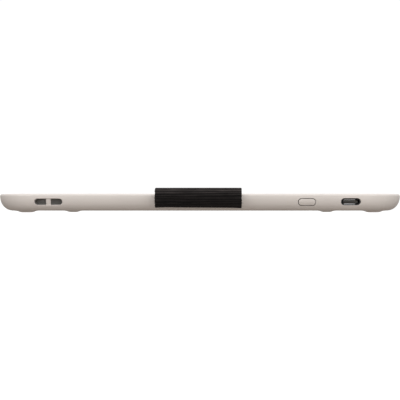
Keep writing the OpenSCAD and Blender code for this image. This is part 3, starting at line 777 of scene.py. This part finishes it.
def make_strap_bar():
    """The bar in the strap slot, with round corners, spreading where it joins the case."""
    x = (bar_low.x + bar_high.x) / 2
    half = (bar_high.x - bar_low.x) / 2
    low = STRAP_Z - STRAP_H / 2 - BAR_OVERLAP
    high = STRAP_Z + STRAP_H / 2 + BAR_OVERLAP
    rings = []
    for i in range(BAR_STEPS + 1):
        # The rings lie closer together towards both ends, where the bar flares
        z = low + (high - low) * (0.5 - 0.5 * math.cos(math.pi * i / BAR_STEPS))
        near = min(z - low, high - z)
        spread = BAR_FLARE - math.sqrt(max(0, BAR_FLARE ** 2 - max(0, BAR_FLARE - near) ** 2))
        front = face_y(z) + BAR_RECESS - FLARE_FORWARD * spread
        wide = half + spread
        ring = []
        for sx, sy, first in ((1, -1, -90), (1, 1, 0), (-1, 1, 90), (-1, -1, 180)):
            cx = x + sx * (wide - BAR_CORNER)
            cy = front + BAR_CORNER if sy < 0 else bar_high.y - BAR_CORNER
            for k in range(CORNER_STEPS + 1):
                a = math.radians(first + 90 * k / CORNER_STEPS)
                ring.append((cx + BAR_CORNER * math.cos(a), cy + BAR_CORNER * math.sin(a), z))
        rings.append(ring)
    bar = add_piece("slot_bar", *loft(rings), "case_plastic")
    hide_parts("strap_bar")


# ---- Pen loop ----

TAPE_T = 1.0 * MM
# The ribs' crests stand this far proud of the plain CAD loop
LOOP_PROUD = 0.06 * MM
LOOP_R = (loop_high.z - loop_low.z) / 2
LOOP_MID_R = LOOP_R - TAPE_T / 2 + LOOP_PROUD
LOOP_X = (loop_low.x + loop_high.x) / 2
LOOP_Y = loop_low.y + LOOP_R
LOOP_Z = (loop_low.z + loop_high.z) / 2
LOOP_W = loop_high.x - loop_low.x

# The tails' heights from the loop's middle, their inner ends, and how far behind the edge they
# begin to curve
TAIL_UP = -0.57 * MM
TAIL_LOW = -1.57 * MM
TAIL_END = loop_high.y
TAIL_TURN = 0.6 * MM
# The round part's ends in degrees, and the handles of the curves that join it to the tails: the
# one at the tail, then the one at the round part
ROUND_FROM = 25
ROUND_TO = 315
UPPER_PULL = (1.5 * MM, 1.1 * MM)
LOWER_PULL = (1.2 * MM, 1.0 * MM)
ROUND_STEPS = 160
CURVE_STEPS = 24
STEPS_PER_RIB = 8

# The grooves' depth, how far a rib's ends may slant, the range of the ribs' height, and how much
# all the ribs waver from point to point across the tape
RIB_DEPTH = 0.2 * MM
RIB_TILT = 0.42 * MM
RIB_GAIN = (0.8, 1.15)
WAVER = 0.012 * MM
# Slanting and wavering ribs count on past the tape's end
SPARE_RIBS = 4

# The selvedges: their rounding, how far each rib bulges there, and how unevenly
EDGE_ROUND = 0.4 * MM
EDGE_BULGE = 0.05 * MM
EDGE_GAIN = (-0.05 * MM, 0.07 * MM)
EDGE_TURN = [22, 45, 68, 90, 112, 135, 158]
OUTER_STEPS = 96
INNER_STEPS = 40

# The loop's low side hangs a little, more to the right and most at its corners
LOW_DROOP = 0.05 * MM
SLANT = 0.13 * MM
CORNER_DROOP = 0.17 * MM
CORNER_REACH = 6 * MM


def bezier(points, count):
    """Points along a cubic curve with four control points."""
    t = np.linspace(0, 1, count)[:, None]
    a, b, c, d = (np.array(p, float) for p in points)
    return (1 - t) ** 3 * a + 3 * (1 - t) ** 2 * t * b + 3 * (1 - t) * t ** 2 * c + t ** 3 * d


def loop_route():
    """The tape's middle line in the (y, z) plane, out of the slot, round the pen and back in.

    Returns its evenly spaced points, and the length along the tape at each.
    """
    centre = np.array([LOOP_Y, LOOP_Z])

    def on_circle(degrees):
        a = np.radians(np.atleast_1d(degrees))[:, None]
        return centre + LOOP_MID_R * np.hstack([np.cos(a), np.sin(a)])

    def along(degrees, length):
        """The point this far along the tangent."""
        a = math.radians(degrees)
        return on_circle(degrees)[0] + length * np.array([-math.sin(a), math.cos(a)])

    slot = EDGE_Y + TAIL_TURN
    upper = LOOP_Z + TAIL_UP
    lower = LOOP_Z + TAIL_LOW
    upper_curve = [
        (slot, upper),
        (slot - UPPER_PULL[0], upper),
        along(ROUND_FROM, -UPPER_PULL[1]),
        on_circle(ROUND_FROM)[0],
    ]
    lower_curve = [
        on_circle(ROUND_TO)[0],
        along(ROUND_TO, LOWER_PULL[1]),
        (slot - LOWER_PULL[0], lower),
        (slot, lower),
    ]
    parts = [
        np.array([[TAIL_END, upper], [slot, upper]]),
        bezier(upper_curve, CURVE_STEPS),
        on_circle(np.linspace(ROUND_FROM, ROUND_TO, ROUND_STEPS)),
        bezier(lower_curve, CURVE_STEPS),
        np.array([[slot, lower], [TAIL_END, lower]]),
    ]
    points = np.vstack([parts[0]] + [part[1:] for part in parts[1:]])
    steps = np.r_[0, np.cumsum(np.linalg.norm(np.diff(points, axis=0), axis=1))]
    count = int(steps[-1] / (RIB_PITCH / STEPS_PER_RIB)) + 1
    place = np.linspace(0, steps[-1], count)
    line = np.column_stack([np.interp(place, steps, points[:, i]) for i in range(2)])
    return line, place


def tape_section(half):
    """One cross-section: across the outer side, over one selvedge, back inside, over the other.

    Each point is its place across the tape and its side, 1 outside and -1 inside.
    """
    turn = [(half + EDGE_ROUND * math.sin(a), math.cos(a)) for a in np.radians(EDGE_TURN)]
    outer = [(u, 1.0) for u in np.linspace(-half, half, OUTER_STEPS)]
    inner = [(u, -1.0) for u in np.linspace(half, -half, INNER_STEPS)]
    return outer + turn + inner + [(-u, -side) for u, side in turn]


def make_pen_loop():
    """Ribbed elastic tape, folded into a loop, with rounded and slightly uneven selvedges."""
    line, place = loop_route()
    tangent = np.gradient(line, axis=0)
    tangent /= np.linalg.norm(tangent, axis=1)[:, None]
    # The tape runs anticlockwise seen from +X, so its outer side is to the right of its run
    normal = np.column_stack([tangent[:, 1], -tangent[:, 0]])
    half = LOOP_W / 2 - EDGE_ROUND
    section = tape_section(half)
    # All ribs waver alike across the tape, and each has its own height, slant and ends
    waver = np.cumsum(rng.normal(0, WAVER, len(section)))
    waver -= np.linspace(waver[0], waver[-1], len(section))
    ribs = int(place[-1] / RIB_PITCH) + SPARE_RIBS
    rib_gain = rng.uniform(*RIB_GAIN, ribs)
    rib_tilt = rng.uniform(-RIB_TILT, RIB_TILT, ribs)
    edge_gain = rng.uniform(*EDGE_GAIN, (2, ribs))
    rings = []
    weave = []
    for i, s in enumerate(place):
        tilt = np.interp(s / RIB_PITCH, range(ribs), rib_tilt)
        ring = []
        for k, (u, side) in enumerate(section):
            v = (s + waver[k] + u / half * tilt) / RIB_PITCH + 1
            number = int(v)
            crest = math.sqrt(abs(math.sin(math.pi * v)))
            off = side * (TAPE_T / 2 - RIB_DEPTH * (1 - crest * rib_gain[number]))
            x = LOOP_X + u
            if abs(u) > half:
                x += math.copysign(EDGE_BULGE * crest, u) + edge_gain[int(u > 0)][number]
            y = line[i, 0] + normal[i, 0] * off
            z = line[i, 1] + normal[i, 1] * off
            if y < EDGE_Y:
                corner = max(0, 1 - (half - abs(u)) / CORNER_REACH) ** 2
                droop = LOW_DROOP + SLANT * u / half + CORNER_DROOP * corner
                z -= droop * min(1, max(0, (LOOP_Z - z) / LOOP_R))
            ring.append((x, y, z))
            weave.append((u / MM, v))
        rings.append(ring)
    loop = add_piece("elastic_loop", *loft(rings), "elastic")
    corner = np.zeros(len(loop.data.loops), int)
    loop.data.loops.foreach_get("vertex_index", corner)
    layer = loop.data.uv_layers.new(name="weave")
    layer.data.foreach_set("uv", np.array(weave)[corner].ravel())
    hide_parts("pen_loop")
    return loop, float(place[-1])


# ---- Loose fibres ----

# The selvedge that each fibre leaves, 1 right and -1 left, and its height from the loop's middle
FRAY_ROOTS = [
    (1, -2.45 * MM),
    (1, -2.3 * MM),
    (1, -2.6 * MM),
    (1, 1.2 * MM),
    (-1, 3.1 * MM),
    (-1, -1.5 * MM),
]
FRAY_R = 0.06 * MM
FRAY_SIDES = 6
FRAY_STEPS = 5
# The share of its radius that a fibre loses to its end
FRAY_TAPER = 0.7
# How far a fibre starts inside the selvedge, and how far it runs outward from there
FRAY_INSIDE = 0.15 * MM
FRAY_RUN = 0.62 * MM
# The most that it drifts in depth, in height, and in height as it curls
FRAY_DEPTH = 0.12 * MM
FRAY_RISE = 0.3 * MM
FRAY_CURL = 0.2 * MM


def fibre(points):
    """A thin round fibre along points, narrowing to its end."""
    points = [Vector(p) for p in points]
    # Any direction that no fibre runs along
    aside = Vector((0.3, 0.2, 1))
    last = len(points) - 1
    rings = []
    for i, p in enumerate(points):
        ahead = points[min(i + 1, last)] - points[max(i - 1, 0)]
        across = ahead.cross(aside).normalized()
        up = across.cross(ahead).normalized()
        r = FRAY_R * (1 - FRAY_TAPER * i / last)
        turn = [2 * math.pi * k / FRAY_SIDES for k in range(FRAY_SIDES)]
        rings.append([tuple(p + r * (math.cos(a) * across + math.sin(a) * up)) for a in turn])
    return loft(rings)


def make_fray():
    """A few loose fibres at the selvedges of the tape."""
    fibres = []
    for side, up in FRAY_ROOTS:
        x = LOOP_X + side * (LOOP_W / 2 - FRAY_INSIDE)
        y = LOOP_Y - math.sqrt(LOOP_MID_R ** 2 - up ** 2)
        z = LOOP_Z + up
        drift = rng.uniform(-1, 1, 3)
        points = []
        for k in range(FRAY_STEPS + 1):
            t = k / FRAY_STEPS
            points.append((
                x + side * FRAY_RUN * t,
                y + FRAY_DEPTH * drift[0] * t,
                z + FRAY_RISE * drift[1] * t + FRAY_CURL * drift[2] * t * t,
            ))
        fibres.append(fibre(points))
    return add_piece("loop_fray", *joined(fibres), "elastic")


# ---- Putting it together ----

make_camera()
make_world()
make_floor()
materials = make_materials()
face_y = face_finder()
angle_group = smooth_by_angle()
cutter = make_rim_cutter()

slot_of = {part["node"]: part["material_slot"] for part in frame["record"]["subparts"]}
for name, node in frame["nodes"].items():
    node.data.materials.clear()
    node.data.materials.append(materials[slot_of[name]])
    soften(node, angle_group, cutter if name == "back_cover" else None)

make_cap()
make_strap_bar()
loop, tape_length = make_pen_loop()
fray = make_fray()

bpy.context.scene.view_settings.view_transform = "Standard"
bpy.context.scene.view_settings.look = "None"
